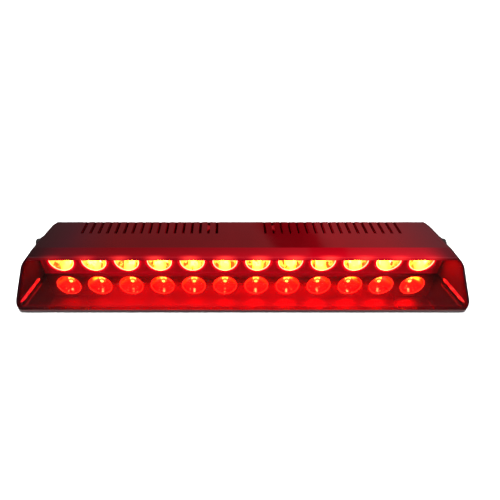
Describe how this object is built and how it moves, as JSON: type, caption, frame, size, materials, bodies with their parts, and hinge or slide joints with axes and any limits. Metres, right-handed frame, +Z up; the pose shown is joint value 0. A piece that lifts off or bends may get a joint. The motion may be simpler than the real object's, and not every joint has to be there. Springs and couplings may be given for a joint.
{
  "type": "third brake light",
  "caption": "Hooded wedge-shaped LED brake light bar with a row of reflector cups behind a slanted clear lens, a vented hood, side thumb screws and a rear cable inlet.",
  "frame": {"origin": "middle of the overall width and depth, on the plane the feet stand on", "axes": "+Z up, +X to the right seen from the front, the light shines towards -Y"},
  "size_m": [0.3582, 0.082, 0.0344],
  "materials": {
    "hood_plastic": "glossy dark maroon moulded plastic, fine scuffs",
    "base_plastic": "glossy dark maroon moulded plastic",
    "clear_lens": "clear polycarbonate",
    "black_rubber": "matt black rubber",
    "reflector_chrome": "vacuum-metallised plastic",
    "led_red": "red LED with a clear dome, lit",
    "white_board": "white solder mask on an aluminium board",
    "thermal_pad": "soft grey-blue silicone pad",
    "sink_aluminium": "extruded, bead blasted",
    "green_board": "green solder mask",
    "chip_black": "moulded epoxy",
    "capacitor_sleeve": "shrunk sleeve on an aluminium can",
    "copper_ferrite": "varnished copper winding on ferrite",
    "terminal_plastic": "moulded nylon",
    "connector_plastic": "moulded nylon",
    "lead_red": "red PVC insulation",
    "lead_black": "black PVC insulation",
    "zinc_steel": "zinc plated",
    "knob_steel": "black-oxidised steel, knurled",
    "brass": "turned brass"
  },
  "bodies": {
    "housing": {"hood_cover": "hood_plastic", "base_tray": "base_plastic", "front_lens": "clear_lens", "lens_gasket": "black_rubber", "reflector_strip": "reflector_chrome", "led_01": "led_red", "led_02": "led_red", "led_03": "led_red", "led_04": "led_red", "led_05": "led_red", "led_06": "led_red", "led_07": "led_red", "led_08": "led_red", "led_09": "led_red", "led_10": "led_red", "led_11": "led_red", "led_12": "led_red", "led_board": "white_board", "thermal_pad_left": "thermal_pad", "thermal_pad_right": "thermal_pad", "heat_sink_left": "sink_aluminium", "heat_sink_right": "sink_aluminium", "driver_board": "green_board", "controller_chip": "chip_black", "power_transistor_1": "chip_black", "power_transistor_2": "chip_black", "capacitor_1": "capacitor_sleeve", "capacitor_2": "capacitor_sleeve", "inductor": "copper_ferrite", "terminal_block": "terminal_plastic", "led_header": "connector_plastic", "led_socket": "connector_plastic", "lead_red": "lead_red", "lead_black": "lead_black", "cable_grommet": "black_rubber", "base_screws": "zinc_steel", "board_screws": "zinc_steel", "driver_screws": "zinc_steel", "insert_left": "brass", "insert_right": "brass", "foot_1": "black_rubber", "foot_2": "black_rubber", "foot_3": "black_rubber", "foot_4": "black_rubber"},
    "left_washer": {"washer_left": "black_rubber"},
    "left_knob": {"knob_left": "knob_steel"},
    "right_washer": {"washer_right": "black_rubber"},
    "right_knob": {"knob_right": "knob_steel"}
  },
  "joints": [
    {"name": "left_knob_travel", "type": "slide", "parent": "housing", "child": "left_washer", "axis": [-1, 0, 0], "range_m": [0, 0.0042]},
    {"name": "left_knob_turn", "type": "hinge", "parent": "left_washer", "child": "left_knob", "pos_m": [-0.17505, 0.0198, 0.0232], "axis": [-1, 0, 0], "range_deg": [0, 2160]},
    {"name": "right_knob_travel", "type": "slide", "parent": "housing", "child": "right_washer", "axis": [1, 0, 0], "range_m": [0, 0.0042]},
    {"name": "right_knob_turn", "type": "hinge", "parent": "right_washer", "child": "right_knob", "pos_m": [0.17505, 0.0198, 0.0232], "axis": [1, 0, 0], "range_deg": [0, 2160]}
  ],
  "couplings": [
    {"joint": "left_knob_turn", "follows": "left_knob_travel", "rad_per_m": 8976},
    {"joint": "right_knob_turn", "follows": "right_knob_travel", "rad_per_m": 8976}
  ]
}
